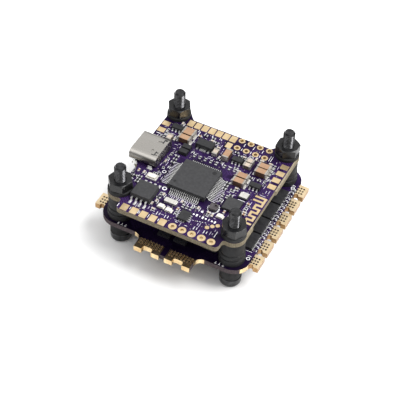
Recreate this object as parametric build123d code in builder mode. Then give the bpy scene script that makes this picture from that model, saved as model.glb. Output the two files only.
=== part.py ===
"""Flight controller stack: an upper flight controller board on a lower four-motor controller
board, held together by four M3 screws with nuts and soft grommets.

Frame: origin on the ground at the middle of the four screws, +Z up. The battery pads point to
-Y and the USB socket's mouth points to -X. All sizes are in millimetres.
"""
import os

from build123d import *

os.makedirs("parts", exist_ok=True)

# ---------------------------------------------------------------- mounting pattern and heights
hole_pitch = 30.5
stud = hole_pitch / 2
studs = [(-stud, -stud), (stud, -stud), (stud, stud), (-stud, stud)]
contact_gap = 0.03              # left between a turning or sliding part and what it bears on

head_height = 2.4
board_thickness = 1.4
esc_bottom = 6.9
esc_top = esc_bottom + board_thickness
ring_bottom = 10.0
ring_top = 11.4
fc_bottom = 15.3
fc_top = fc_bottom + board_thickness
flange_top = 17.7
plating = 0.06                  # thickness of every gold surface

# ---------------------------------------------------------------- screws, nuts and grommets
thread_radius = 1.5             # of the end that stands out of the nut
shank_radius = 1.48             # of the part held inside the stack
screw_length = 22.0
head_radius = 2.75
head_round = 0.7
socket_across = 2.0
socket_depth = 1.3
screw_tip_chamfer = 0.35
nut_across = 5.5
nut_height = 2.4
nut_bevel = (0.45, 0.25)        # how far the corners are cut back, across and along the nut
nut_bore_radius = 1.54
nut_top = flange_top + contact_gap + nut_height
nut_turns = [8, 0, 30, 0]       # how far each nut happens to be turned, in degrees

board_hole_radius = 2.0
grommet_bore_radius = 1.6
grommet_neck_radius = 1.98
fc_grommet_radius = 3.0
fc_flange_radius = 3.1
ring_radius = 3.15
esc_flange_radius = 3.3
foot_radius = 2.7
soft_edge = 0.3

# ---------------------------------------------------------------- upper board outline
ear_radius = 3.15
fc_right = 17.95
fc_pod_right = 18.35            # the sides stand out this far beside the ears
fc_left = -17.7
fc_back = 15.0
fc_front = -21.35
tongue_left = -13.3
tongue_right = 13.9
tongue_root = -18.2
tongue_corner = 1.1
pod_step_y = 2.2
pod_ramp_y = -10.0
usb_recess_left = -17.0
outline_round = 0.7

# ---------------------------------------------------------------- upper board gold features
front_pad = (1.75, 2.1)
front_pad_count = 5
front_pitch = 2.54
front_first_x = -11.3
front_row_y = -20.2
front_hole_first_x = 1.6
front_hole_count = 5
front_ring_radius = 1.02
hole_barrel_radius = 0.55
hole_bore_radius = 0.45
back_pad = (1.7, 2.2)
back_pad_count = 7
back_pitch = 2.0
back_first_x = -10.85
back_row_y = 13.6
back_ring_radius = 0.85
back_hole_first_x = 3.3
back_hole_count = 4
back_hole_rows = [14.1, 11.25]
single_pad = (1.5, 1.9)
single_pad_at = (1.1, 11.0)
side_pad = (2.0, 1.6)
right_pad_x = 16.7
right_pad_first_y = 10.6
right_pad_count = 4
left_pads = [(-16.5, 10.55), (-16.5, 7.9)]
dot_radius = 0.54
jumper_dots = [(8.9, -16.6), (9.85, -15.7), (10.9, -14.9)]

antenna_width = 0.6
antenna_pitch = 1.3
antenna_bars = 8
antenna_first_y = -1.7
antenna_left = 15.6
antenna_right = 17.6
antenna_feed_left = 14.5

# ---------------------------------------------------------------- USB-C socket
usb_front = -18.4
usb_length = 7.35
usb_centre_y = -1.1
usb_width = 8.94
usb_height = 3.2
usb_corner = 1.45
usb_wall = 0.3
usb_tongue_width = 6.7
usb_tongue_thickness = 0.7
usb_tongue_length = 5.6
usb_tongue_setback = 0.9
usb_dimple_radius = 0.36
usb_dimple_at = (2.2, 1.65)     # from the rear edge, from the middle
usb_catch_slots = [              # distance from the rear edge, from the middle, length, width
    (1.1, 2.25, 0.22, 1.3),
    (0.75, 2.8, 0.6, 0.22),
]
usb_contact = (3.6, 0.24, 0.05)
usb_contact_pitch = 0.5
usb_contact_count = 12

# ---------------------------------------------------------------- chips on the upper board
mcu_at = (-0.45, -4.65)
mcu_side = 10.0
mcu_height = 1.5
mcu_standoff = 0.1
mcu_lead_count = 16
mcu_lead_pitch = 0.5
mcu_lead_reach = 1.0
mcu_marks = [(-4.3, -7.9, 0.35), (3.0, -0.95, 0.55)]

flash_at = (-9.15, -14.15)
flash_side = 5.2
flash_height = 1.8
flash_lead_count = 4
flash_lead_pitch = 1.27
flash_lead_reach = 1.35

radio_at = (11.15, -7.6)
radio_side = 4.0
radio_height = 0.85

crystal_at = (12.2, -3.35)
crystal_size = (2.5, 2.0, 0.4)
crystal_lid = (2.1, 1.6, 0.2)
clock_at = (-2.3, -13.6)
clock_size = (3.4, 1.4, 0.8)
gyro_at = (2.65, -16.2)
gyro_size = (2.5, 3.0, 0.8)
barometer_at = (7.5, -10.4)
barometer_size = (2.0, 2.0, 0.9)
barometer_port_radius = 0.25

# ---------------------------------------------------------------- capacitors and resistors
large_cap = (3.2, 1.6, 1.6)     # length between ends, width, height
large_cap_end = 0.42
large_caps = [(12.65, 5.35), (12.65, 7.25), (9.25, -0.25), (9.25, 1.75), (-9.35, 6.9)]
wide_cap = (3.2, 2.4, 1.5)
wide_cap_at = (-9.35, 9.4)
tall_cap_at = (2.6, 6.9)        # lies along Y
mid_cap = (2.0, 1.25, 1.1)
mid_cap_end = 0.42
mid_caps = [(8.55, 6.1), (8.55, 7.7)]
mid_caps_turned = [(-0.45, 6.55), (-13.0, 5.7)]
small_chip = (1.0, 0.5, 0.35)
small_chip_end = 0.25
small_rows = [                  # first x, first y, step in x, step in y, how many, turn
    (-4.6, 3.3, 1.5, 0, 5, 90),
    (3.6, 3.4, 1.4, 0, 3, 90),
    (6.9, -1.2, 0, -1.1, 3, 0),
    (-8.3, 1.0, 0, -1.2, 3, 0),
    (-12.9, -9.6, 0, -0.95, 3, 0),
    (0.9, -13.4, 1.0, 0, 3, 90),
    (14.6, 9.2, 0, -1.2, 4, 90),
    (11.0, 3.1, 2.2, 0, 2, 0),
    (7.6, -5.6, 1.1, 0, 2, 90),
    (-5.4, 11.2, 2.2, 0, 2, 0),
]

# ---------------------------------------------------------------- regulators, diodes, lamps
sot89_at = (-3.75, 7.5)
sot89_size = (4.5, 2.45, 1.5)
sot23_size = (2.9, 1.6, 1.1)
sot23_spots = [(5.6, 6.7), (13.2, 0.75), (-12.9, 10.0)]
sot23_lead_pitch = 0.95
sot23_lead_reach = 0.6
diode_size = (2.3, 1.5, 1.0)
diode_spots = [(-7.6, 2.95), (-7.6, 4.8)]
led_size = (1.9, 1.1, 0.6)
led_spots = [(-3.7, -15.9), (-1.5, -16.2), (10.1, -12.1)]

# ---------------------------------------------------------------- boot button
button_at = (-10.3, -8.35)
button_base = (2.9, 2.0, 0.5)
button_plunger = (2.1, 1.2, 0.5)
button_travel = 0.2
button_clearance = 0.06

# ---------------------------------------------------------------- board-to-board connectors
plug_housing = (10.0, 4.2, 2.9)
plug_cavity = (8.9, 3.1, 1.7)
plug_pin_count = 8
plug_pin_pitch = 1.0
plug_pin = (0.3, 2.4, 0.3)
plug_x = -4.5
fc_plug_y = 12.5
esc_plug_y = 16.6

# ---------------------------------------------------------------- lower board outline
esc_half_x = 19.9
esc_half_y = 19.25
esc_corner = 4.4
battery_front = -23.4
battery_gap_front = -22.9
battery_left = -7.1
battery_right = 8.0
battery_pad_width = 6.8
battery_pads_x = [-3.7, 4.6]
battery_notch = (2.7, 1.2)
notch_corner = 0.55
battery_root = -20.2
bay_radius = 1.9
tab_length = 2.4
tab_width = 3.9
tab_pitch = 5.33
tab_count = 6
tab_middle_y = -0.35
left_tab_y = tab_middle_y - tab_pitch * (tab_count - 1) / 2
underside_pad = (1.8, 3.9)
underside_pad_x = -18.95
tab_bite_radius = 0.6           # half-round bite beside each tab's root
via_radius = 0.26
via_centre_x = 20.74
via_pitch_x = 0.7
via_pitch_y = 0.88
battery_via_radius = 0.2
battery_via_y = -21.15
battery_via_pitch = (0.8, 0.72)
battery_via_grid = (8, 3)
corner_wrap = (-17.9, -15.6)    # the front right ear's edge is plated between these y

# ---------------------------------------------------------------- parts on the lower board
fet_body = (5.7, 5.2, 1.0)
fet_pitch = 5.6
fet_rows = 4
fet_outer_x = 15.75
fet_inner_x = 9.4
fet_lead = (0.3, 0.45, 0.25)
fet_lead_pitch = 1.27
driver_side = 4.0
driver_height = 0.8
driver_x = 3.4
controller_side = 3.0
shunt_size = (3.2, 6.4, 0.6)
shunt_spots = [(-2.2, -14.4), (2.2, -14.4)]
clamp_size = (4.6, 3.6, 2.0)
clamp_at = (-9.3, -13.4)
coil_size = (4.4, 4.4, 1.8)
coil_at = (9.3, -13.8)
esc_cap = (2.0, 1.25, 1.1)
esc_cap_at = (0.0, 12.2)
esc_cap_pitch = 2.6
esc_cap_count = 5


def bent_lead(root, reach, drop, width, foot=0.45, sheet=0.16):
    """One gull-wing lead: leaves the chip at x = root, its foot lies on z = 0."""
    tip = root + reach
    with BuildPart() as lead:
        with BuildSketch(Plane.XZ):
            with BuildLine():
                Polyline(
                    (root, drop),
                    (tip - foot, drop),
                    (tip - foot + sheet / 2, sheet),
                    (tip, sheet),
                    (tip, 0),
                    (tip - foot - sheet / 2, 0),
                    (tip - foot - sheet, drop - sheet),
                    (root, drop - sheet),
                    close=True,
                )
            make_face()
        extrude(amount=width / 2, both=True)
    return lead.part


def tapered_body(size, taper=6):
    """A moulded chip body standing on z = 0, narrower towards its top."""
    width, depth, height = size
    with BuildPart() as body:
        with BuildSketch():
            Rectangle(width, depth)
        extrude(amount=height * 0.45)
        with BuildSketch(body.faces().sort_by(Axis.Z)[-1]):
            Rectangle(width, depth)
        extrude(amount=height * 0.55, taper=taper)
    return body.part


def placed(x, y, z, turn=0):
    """A location at x, y, z turned about +Z."""
    return Location((x, y, z), (0, 0, turn))


# ================================================================= upper board
with BuildSketch() as fc_outline:
    with BuildLine():
        Polyline(
            (fc_left, fc_back - 1.2),
            (fc_left, 4.6),
            (usb_recess_left, 4.6),
            (usb_recess_left, -5.4),
            (-15.7, -6.2),
            (-14.2, -11.4),
            (-stud, -stud),
            (tongue_left, tongue_root),
            (tongue_right, tongue_root),
            (stud, -stud),
            (fc_pod_right, -stud),
            (fc_pod_right, pod_ramp_y - 1.0),
            (fc_right, pod_ramp_y),
            (fc_right, pod_step_y),
            (fc_pod_right, pod_step_y),
            (fc_pod_right, stud),
            (stud, stud),
            (12.6, 17.0),
            (11.0, fc_back),
            (-10.9, fc_back),
            (-12.6, 17.0),
            (-stud, stud),
            close=True,
        )
    make_face()
    with Locations(*studs):
        Circle(ear_radius)
    with Locations(((tongue_left + tongue_right) / 2, (fc_front - stud) / 2)):
        RectangleRounded(tongue_right - tongue_left, -stud - fc_front, tongue_corner)
    offset(amount=outline_round, kind=Kind.ARC, mode=Mode.REPLACE)
    offset(amount=-outline_round, kind=Kind.ARC, mode=Mode.REPLACE)

front_holes = [(front_hole_first_x + i * front_pitch, front_row_y) for i in range(front_hole_count)]
back_holes = [
    (back_hole_first_x + i * front_pitch, y) for y in back_hole_rows for i in range(back_hole_count)
]

with BuildPart() as fc_board:
    with BuildSketch(Plane.XY.offset(fc_bottom)):
        add(fc_outline.sketch)
        with Locations(*studs):
            Circle(board_hole_radius, mode=Mode.SUBTRACT)
        with Locations(*front_holes, *back_holes):
            Circle(hole_barrel_radius, mode=Mode.SUBTRACT)
    extrude(amount=board_thickness)

with BuildPart() as fc_edge_pads:
    with BuildSketch(Plane.XY.offset(fc_top)):
        with Locations(*[(front_first_x + i * front_pitch, front_row_y) for i in range(front_pad_count)]):
            Rectangle(*front_pad)
        with Locations(*[(back_first_x + i * back_pitch, back_row_y) for i in range(back_pad_count)]):
            Rectangle(*back_pad)
        with Locations(single_pad_at):
            Rectangle(*single_pad)
        with Locations(*[(right_pad_x, right_pad_first_y - i * front_pitch) for i in range(right_pad_count)]):
            Rectangle(*side_pad)
        with Locations(*left_pads):
            Rectangle(*side_pad)
    extrude(amount=plating)

with BuildPart() as fc_plated_holes:
    with BuildSketch(Plane.XY.offset(fc_bottom)):
        with Locations(*front_holes, *back_holes):
            Circle(hole_barrel_radius)
    extrude(amount=board_thickness)
    for surface in (fc_bottom - plating, fc_top):
        with BuildSketch(Plane.XY.offset(surface)):
            with Locations(*front_holes):
                Circle(front_ring_radius)
            with Locations(*back_holes):
                Circle(back_ring_radius)
        extrude(amount=plating)
    with BuildSketch(Plane.XY.offset(fc_bottom - plating)):
        with Locations(*front_holes, *back_holes):
            Circle(hole_bore_radius)
    extrude(amount=board_thickness + 2 * plating, mode=Mode.SUBTRACT)

with BuildPart() as fc_jumper_dots:
    with BuildSketch(Plane.XY.offset(fc_top)):
        with Locations(*jumper_dots):
            Circle(dot_radius)
    extrude(amount=plating)

with BuildPart() as fc_antenna:
    with BuildSketch(Plane.XY.offset(fc_top)):
        for bar in range(antenna_bars):
            y = antenna_first_y - bar * antenna_pitch
            left = antenna_feed_left if bar < 2 else antenna_left
            with Locations(((left + antenna_right) / 2, y)):
                Rectangle(antenna_right - left, antenna_width)
            joins_right = bar < 2 or bar % 2 == 1
            if bar < antenna_bars - 1:
                side = antenna_right - antenna_width / 2 if joins_right else antenna_left + antenna_width / 2
                with Locations((side, y - antenna_pitch / 2)):
                    Rectangle(antenna_width, antenna_pitch)
    extrude(amount=plating)

# ================================================================= USB-C socket
usb_mid_z = fc_top + usb_height / 2
usb_rear = usb_front + usb_length

with BuildPart() as usb_shell:
    with BuildSketch(Plane.YZ.offset(usb_front)):
        with Locations((usb_centre_y, usb_mid_z)):
            RectangleRounded(usb_width, usb_height, usb_corner)
    extrude(amount=usb_length)
    with BuildSketch(Plane.YZ.offset(usb_front)):
        with Locations((usb_centre_y, usb_mid_z)):
            RectangleRounded(usb_width - 2 * usb_wall, usb_height - 2 * usb_wall, usb_corner - usb_wall)
    extrude(amount=usb_length - usb_wall, mode=Mode.SUBTRACT)
    with BuildSketch(Plane.XY.offset(fc_top + usb_height)):
        for side in (-1, 1):
            with Locations((usb_rear - usb_dimple_at[0], usb_centre_y + side * usb_dimple_at[1])):
                Circle(usb_dimple_radius)
    extrude(amount=-usb_wall / 2, mode=Mode.SUBTRACT)
    with BuildSketch(Plane.XY.offset(fc_top + usb_height)):
        for side in (-1, 1):
            for inset, aside, length, width in usb_catch_slots:
                with Locations((usb_rear - inset, usb_centre_y + side * aside)):
                    Rectangle(length, width)
    extrude(amount=-usb_wall, mode=Mode.SUBTRACT)

with BuildPart() as usb_tongue:
    with BuildSketch(Plane.YZ.offset(usb_front + usb_length - usb_wall)):
        with Locations((usb_centre_y, usb_mid_z)):
            RectangleRounded(
                usb_width - 2 * usb_wall, usb_height - 2 * usb_wall, usb_corner - usb_wall
            )
    extrude(amount=-(usb_length - usb_wall - usb_tongue_length - usb_tongue_setback))
    with BuildSketch(Plane.YZ.offset(usb_front + usb_tongue_setback)):
        with Locations((usb_centre_y, usb_mid_z)):
            RectangleRounded(usb_tongue_width, usb_tongue_thickness, usb_tongue_thickness / 3)
    extrude(amount=usb_tongue_length)

with BuildPart() as usb_contacts:
    for side in (-1, 1):
        face = usb_mid_z + side * (usb_tongue_thickness + usb_contact[2]) / 2
        with BuildSketch(Plane.XY.offset(face - usb_contact[2] / 2)):
            with Locations((usb_front + usb_tongue_setback + 0.3 + usb_contact[0] / 2, usb_centre_y)):
                with GridLocations(1, usb_contact_pitch, 1, usb_contact_count):
                    Rectangle(usb_contact[0], usb_contact[1])
        extrude(amount=usb_contact[2])

# ================================================================= chips with leads
with BuildPart() as mcu_body:
    with Locations(placed(*mcu_at, fc_top + mcu_standoff)):
        add(tapered_body((mcu_side, mcu_side, mcu_height - mcu_standoff)))
    for x, y, radius in mcu_marks:
        with BuildSketch(Plane.XY.offset(fc_top + mcu_height)):
            with Locations((x, y)):
                Circle(radius)
        extrude(amount=-0.08, mode=Mode.SUBTRACT)

with BuildPart() as mcu_leads:
    with Locations(placed(*mcu_at, fc_top)):
        with PolarLocations(0, 4):
            with GridLocations(1, mcu_lead_pitch, 1, mcu_lead_count):
                add(bent_lead(mcu_side / 2, mcu_lead_reach, 0.7, 0.22))

with BuildPart() as flash_body:
    with Locations(placed(*flash_at, fc_top + mcu_standoff)):
        add(tapered_body((flash_side, flash_side, flash_height - mcu_standoff)))

with BuildPart() as flash_leads:
    with Locations(placed(*flash_at, fc_top, 90)):
        with PolarLocations(0, 2):
            with GridLocations(1, flash_lead_pitch, 1, flash_lead_count):
                add(bent_lead(flash_side / 2, flash_lead_reach, 0.85, 0.42, foot=0.7, sheet=0.2))

with BuildPart() as radio_chip:
    with BuildSketch(Plane.XY.offset(fc_top)):
        with Locations(radio_at):
            Rectangle(radio_side, radio_side)
    extrude(amount=radio_height)
    chamfer(radio_chip.edges().group_by(Axis.Z)[-1], 0.06)

with BuildPart() as gyro_chip:
    with BuildSketch(Plane.XY.offset(fc_top)):
        with Locations(gyro_at):
            Rectangle(gyro_size[0], gyro_size[1])
    extrude(amount=gyro_size[2])
    chamfer(gyro_chip.edges().group_by(Axis.Z)[-1], 0.06)

with BuildPart() as barometer:
    with BuildSketch(Plane.XY.offset(fc_top)):
        with Locations(barometer_at):
            RectangleRounded(barometer_size[0], barometer_size[1], 0.25)
    extrude(amount=barometer_size[2])
    with BuildSketch(Plane.XY.offset(fc_top + barometer_size[2])):
        with Locations((barometer_at[0] + 0.4, barometer_at[1] + 0.4)):
            Circle(barometer_port_radius)
    extrude(amount=-0.5, mode=Mode.SUBTRACT)

with BuildPart() as crystal_base:
    with BuildSketch(Plane.XY.offset(fc_top)):
        with Locations(crystal_at):
            RectangleRounded(crystal_size[0], crystal_size[1], 0.15)
    extrude(amount=crystal_size[2])

with BuildPart() as crystal_cover:
    with BuildSketch(Plane.XY.offset(fc_top + crystal_size[2])):
        with Locations(crystal_at):
            RectangleRounded(crystal_lid[0], crystal_lid[1], 0.2)
    extrude(amount=crystal_lid[2])

with BuildPart() as clock_crystal:
    with BuildSketch(Plane.XY.offset(fc_top)):
        with Locations(clock_at):
            RectangleRounded(clock_size[0], clock_size[1], 0.3)
    extrude(amount=clock_size[2])
    fillet(clock_crystal.edges().group_by(Axis.Z)[-1], 0.15)

# ================================================================= capacitors and resistors
turned_caps = [placed(*spot, 0, 90) for spot in mid_caps_turned]
mid_cap_places = [placed(*spot, 0) for spot in mid_caps] + turned_caps
large_cap_places = [placed(*spot, 0) for spot in large_caps] + [placed(*tall_cap_at, 0, 90)]
small_places = [
    placed(first_x + i * step_x, first_y + i * step_y, 0, turn)
    for first_x, first_y, step_x, step_y, count, turn in small_rows
    for i in range(count)
]


def cap_bodies(places, size, end, z):
    """The ceramic middles of capacitors standing on z."""
    with BuildPart() as bodies:
        with BuildSketch(Plane.XY.offset(z)):
            with Locations(*places):
                Rectangle(size[0] - 2 * end, size[1])
        extrude(amount=size[2])
    return bodies.part


def cap_ends(places, size, end, z):
    """The metal end caps of the same capacitors, a little proud of the ceramic."""
    with BuildPart() as ends:
        with BuildSketch(Plane.XY.offset(z)):
            with Locations(*places):
                with GridLocations(size[0] - end, 1, 2, 1):
                    Rectangle(end, size[1] + 2 * plating)
        extrude(amount=size[2] + plating)
    return ends.part


with BuildPart() as large_cap_bodies:
    add(cap_bodies(large_cap_places, large_cap, large_cap_end, fc_top))
    add(cap_bodies([placed(*wide_cap_at, 0)], wide_cap, large_cap_end, fc_top))

with BuildPart() as large_cap_ends:
    add(cap_ends(large_cap_places, large_cap, large_cap_end, fc_top))
    add(cap_ends([placed(*wide_cap_at, 0)], wide_cap, large_cap_end, fc_top))

mid_cap_bodies = cap_bodies(mid_cap_places, mid_cap, mid_cap_end, fc_top)
mid_cap_ends = cap_ends(mid_cap_places, mid_cap, mid_cap_end, fc_top)
resistor_bodies = cap_bodies(small_places, small_chip, small_chip_end, fc_top)
resistor_ends = cap_ends(small_places, small_chip, small_chip_end, fc_top)

# ================================================================= regulators, diodes, lamps
with BuildPart() as regulator_bodies:
    with Locations(placed(*sot89_at, fc_top)):
        add(tapered_body(sot89_size))
    with Locations(*[placed(*spot, fc_top + mcu_standoff) for spot in sot23_spots]):
        add(tapered_body((sot23_size[0], sot23_size[1], sot23_size[2] - mcu_standoff)))

with BuildPart() as regulator_leads:
    with Locations(*[placed(*spot, fc_top, 90) for spot in sot23_spots]):
        with PolarLocations(0, 2):
            with GridLocations(1, sot23_lead_pitch, 1, 3):
                add(bent_lead(sot23_size[1] / 2, sot23_lead_reach, 0.6, 0.38, foot=0.35))
    with BuildSketch(Plane.XY.offset(fc_top)):
        with Locations((sot89_at[0], sot89_at[1] - sot89_size[1] / 2 - 0.35)):
            Rectangle(1.7, 0.7)
            with GridLocations(3.1, 1, 2, 1):
                Rectangle(0.45, 0.7)
    extrude(amount=0.35)

with BuildPart() as diode_bodies:
    with Locations(*[placed(*spot, fc_top) for spot in diode_spots]):
        add(tapered_body(diode_size))

with BuildPart() as status_leds:
    with BuildSketch(Plane.XY.offset(fc_top)):
        with Locations(*led_spots):
            Rectangle(led_size[0], led_size[1])
    extrude(amount=led_size[2] * 0.4)
    with BuildSketch(Plane.XY.offset(fc_top + led_size[2] * 0.4)):
        with Locations(*led_spots):
            Rectangle(led_size[0] * 0.7, led_size[1])
    extrude(amount=led_size[2] * 0.6)

# ================================================================= boot button
with BuildPart() as button_frame:
    with BuildSketch(Plane.XY.offset(fc_top)):
        with Locations(button_at):
            RectangleRounded(button_base[0], button_base[1], 0.2)
    extrude(amount=button_base[2])
    with BuildSketch(Plane.XY.offset(fc_top + button_base[2])):
        with Locations(button_at):
            Rectangle(button_plunger[0] + 2 * button_clearance, button_plunger[1] + 2 * button_clearance)
    extrude(amount=-(button_base[2] - 0.1), mode=Mode.SUBTRACT)

with BuildPart() as button_cap:
    with BuildSketch(Plane.XY.offset(fc_top + 0.1 + button_travel + contact_gap)):
        with Locations(button_at):
            RectangleRounded(button_plunger[0], button_plunger[1], 0.15)
    extrude(amount=button_plunger[2])
    fillet(button_cap.edges().group_by(Axis.Z)[-1], 0.08)


# ================================================================= board-to-board connectors
def connector_housing(y, seat, side):
    """An eight-way socket on the surface z = seat; side is +1 above the board, -1 below it."""
    middle = seat + side * plug_housing[2] / 2
    mouth = y + plug_housing[1] / 2
    with BuildPart() as housing:
        with BuildSketch(Plane.XZ.offset(-(y - plug_housing[1] / 2))):
            with Locations((plug_x, middle)):
                Rectangle(plug_housing[0], plug_housing[2])
        extrude(amount=-plug_housing[1])
        with BuildSketch(Plane.XZ.offset(-mouth)):
            with Locations((plug_x, middle)):
                Rectangle(plug_cavity[0], plug_cavity[2])
        extrude(amount=plug_cavity[1], mode=Mode.SUBTRACT)
    return housing.part


def connector_pins(y, seat, side):
    """The contact pins standing in that socket's cavity, from its back wall."""
    middle = seat + side * plug_housing[2] / 2
    back = y + plug_housing[1] / 2 - plug_cavity[1]
    with BuildPart() as pins:
        with BuildSketch(Plane.XZ.offset(-back)):
            with Locations((plug_x, middle)):
                with GridLocations(plug_pin_pitch, 1, plug_pin_count, 1):
                    Rectangle(plug_pin[0], plug_pin[2])
        extrude(amount=-plug_pin[1])
    return pins.part


fc_socket_housing = connector_housing(fc_plug_y, fc_bottom, -1)
fc_socket_pins = connector_pins(fc_plug_y, fc_bottom, -1)
esc_socket_housing = connector_housing(esc_plug_y, esc_top, 1)
esc_socket_pins = connector_pins(esc_plug_y, esc_top, 1)

# ================================================================= lower board
tab_x = esc_half_x + tab_length / 2
tab_spots = [(tab_x, tab_middle_y + tab_pitch * (i - (tab_count - 1) / 2)) for i in range(tab_count)]
tab_spots.append((-tab_x, left_tab_y))
battery_spots = [(x, (battery_front + battery_root) / 2) for x in battery_pads_x]
tab_bites = [(x * (esc_half_x + tab_bite_radius) / tab_x, y - tab_width / 2) for x, y in tab_spots]
gap_x = (battery_pads_x[0] + battery_pads_x[1]) / 2
gap_width = battery_pads_x[1] - battery_pads_x[0] - battery_pad_width

with BuildSketch() as notch_outline:
    with Locations(*[(x, battery_front) for x in battery_pads_x]):
        RectangleRounded(battery_notch[0], 2 * battery_notch[1], notch_corner)

with BuildSketch() as notch_opening:
    add(notch_outline.sketch)
    offset(amount=-plating, kind=Kind.INTERSECTION, mode=Mode.REPLACE)

with BuildSketch() as esc_outline:
    RectangleRounded(2 * esc_half_x, 2 * esc_half_y, esc_corner)
    with Locations(((battery_left + battery_right) / 2, battery_front / 2)):
        Rectangle(battery_right - battery_left, -battery_front)
    offset(amount=bay_radius, kind=Kind.ARC, mode=Mode.REPLACE)
    offset(amount=-bay_radius, kind=Kind.ARC, mode=Mode.REPLACE)
    with Locations((gap_x, battery_front)):
        Rectangle(gap_width, 2 * (battery_gap_front - battery_front), mode=Mode.SUBTRACT)
    add(notch_outline.sketch, mode=Mode.SUBTRACT)

with BuildSketch() as tab_outline:
    with Locations(*tab_spots):
        Rectangle(tab_length, tab_width)
    with Locations(*tab_bites):
        Circle(tab_bite_radius, mode=Mode.SUBTRACT)

with BuildSketch() as tab_surface:
    add(tab_outline.sketch)
    offset(amount=plating, kind=Kind.INTERSECTION, mode=Mode.REPLACE)
    add(esc_outline.sketch, mode=Mode.SUBTRACT)

with BuildSketch() as via_holes:
    with Locations(*[(x * via_centre_x / tab_x, y) for x, y in tab_spots]):
        with GridLocations(via_pitch_x, via_pitch_y, 3, 3):
            Circle(via_radius)
    with Locations(*[(x, battery_via_y) for x in battery_pads_x]):
        with GridLocations(*battery_via_pitch, *battery_via_grid):
            Circle(battery_via_radius)

with BuildPart() as esc_board:
    with BuildSketch(Plane.XY.offset(esc_bottom)):
        add(esc_outline.sketch)
        add(tab_outline.sketch)
        add(via_holes.sketch, mode=Mode.SUBTRACT)
        with Locations(*studs):
            Circle(board_hole_radius, mode=Mode.SUBTRACT)
    extrude(amount=board_thickness)

with BuildPart() as motor_pads:
    with BuildSketch(Plane.XY.offset(esc_bottom - plating)):
        add(tab_surface.sketch)
    extrude(amount=board_thickness + 2 * plating)
    with BuildSketch(Plane.XY.offset(esc_bottom)):
        add(tab_outline.sketch)
    extrude(amount=board_thickness, mode=Mode.SUBTRACT)
    with BuildSketch(Plane.XY.offset(esc_bottom - plating)):
        add(via_holes.sketch)
    extrude(amount=board_thickness + 2 * plating, mode=Mode.SUBTRACT)

with BuildPart() as battery_pads:
    with BuildSketch(Plane.XY.offset(esc_bottom - plating)):
        with Locations(*battery_spots):
            Rectangle(battery_pad_width, battery_root - battery_front)
        with Locations(*[(x, battery_front) for x in battery_pads_x]):
            Rectangle(battery_pad_width, 2 * plating)
        add(notch_opening.sketch, mode=Mode.SUBTRACT)
    extrude(amount=board_thickness + 2 * plating)
    with BuildSketch(Plane.XY.offset(esc_bottom)):
        add(esc_outline.sketch)
    extrude(amount=board_thickness, mode=Mode.SUBTRACT)
    with BuildSketch(Plane.XY.offset(esc_bottom - plating)):
        add(via_holes.sketch)
    extrude(amount=board_thickness + 2 * plating, mode=Mode.SUBTRACT)

with BuildPart() as underside_pads:
    with BuildSketch(Plane.XY.offset(esc_bottom)):
        with Locations(*[(underside_pad_x, left_tab_y + tab_pitch * i) for i in range(1, tab_count)]):
            Rectangle(*underside_pad)
    extrude(amount=-plating)

with BuildPart() as edge_bays:
    with BuildSketch(Plane.XY.offset(esc_bottom)):
        for edge, side in ((battery_left, -1), (battery_right, 1)):
            with Locations((edge + side * bay_radius, -esc_half_y - bay_radius)):
                Circle(bay_radius)
                Circle(bay_radius - plating, mode=Mode.SUBTRACT)
        with Locations((0, -esc_half_y - 2 * bay_radius)):
            Rectangle(4 * esc_half_x, 2 * bay_radius, mode=Mode.SUBTRACT)
        for beyond in (battery_left - 2 * bay_radius, battery_right + 2 * bay_radius):
            with Locations((beyond, -esc_half_y)):
                Rectangle(2 * bay_radius, 2 * bay_radius, mode=Mode.SUBTRACT)
    extrude(amount=board_thickness)
    with BuildSketch(Plane.XY.offset(esc_bottom)):
        add(esc_outline.sketch)
        offset(amount=plating, kind=Kind.ARC, mode=Mode.REPLACE)
        add(esc_outline.sketch, mode=Mode.SUBTRACT)
        with Locations((esc_half_x, sum(corner_wrap) / 2)):
            Rectangle(esc_corner, corner_wrap[1] - corner_wrap[0], mode=Mode.INTERSECT)
        with Locations(tab_spots[0]):
            Rectangle(tab_length + 2 * plating, tab_width + 2 * plating, mode=Mode.SUBTRACT)
    extrude(amount=board_thickness)

# ================================================================= parts on the lower board
fet_spots = [(side * x, tab_middle_y) for side in (-1, 1) for x in (fet_inner_x, fet_outer_x)]

with BuildPart() as fet_bodies:
    with BuildSketch(Plane.XY.offset(esc_top)):
        with Locations(*fet_spots):
            with GridLocations(1, fet_pitch, 1, fet_rows):
                Rectangle(fet_body[0], fet_body[1])
    extrude(amount=fet_body[2])
    chamfer(fet_bodies.edges().group_by(Axis.Z)[-1], 0.08)
    with BuildSketch(Plane.XY.offset(esc_bottom)):
        with Locations((0, tab_middle_y)):
            with GridLocations(2 * fet_inner_x, fet_pitch, 2, fet_rows):
                Rectangle(fet_body[0], fet_body[1])
    extrude(amount=-fet_body[2])

with BuildPart() as fet_leads:
    with BuildSketch(Plane.XY.offset(esc_top)):
        with Locations(*fet_spots):
            with GridLocations(fet_body[0] + fet_lead[0], fet_pitch, 2, fet_rows):
                with GridLocations(1, fet_lead_pitch, 1, 4):
                    Rectangle(fet_lead[0], fet_lead[1])
    extrude(amount=fet_lead[2])

with BuildPart() as driver_chips:
    with BuildSketch(Plane.XY.offset(esc_top)):
        with Locations((0, tab_middle_y)):
            with GridLocations(2 * driver_x, fet_pitch, 2, 2):
                Rectangle(driver_side, driver_side)
    extrude(amount=driver_height)

with BuildPart() as motor_controllers:
    with BuildSketch(Plane.XY.offset(esc_top)):
        with Locations((0, tab_middle_y)):
            with GridLocations(2 * driver_x, 3 * fet_pitch, 2, 2):
                Rectangle(controller_side, controller_side)
    extrude(amount=driver_height)

with BuildPart() as current_shunts:
    with BuildSketch(Plane.XY.offset(esc_top)):
        with Locations(*shunt_spots):
            Rectangle(shunt_size[0], shunt_size[1])
    extrude(amount=shunt_size[2])

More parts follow.
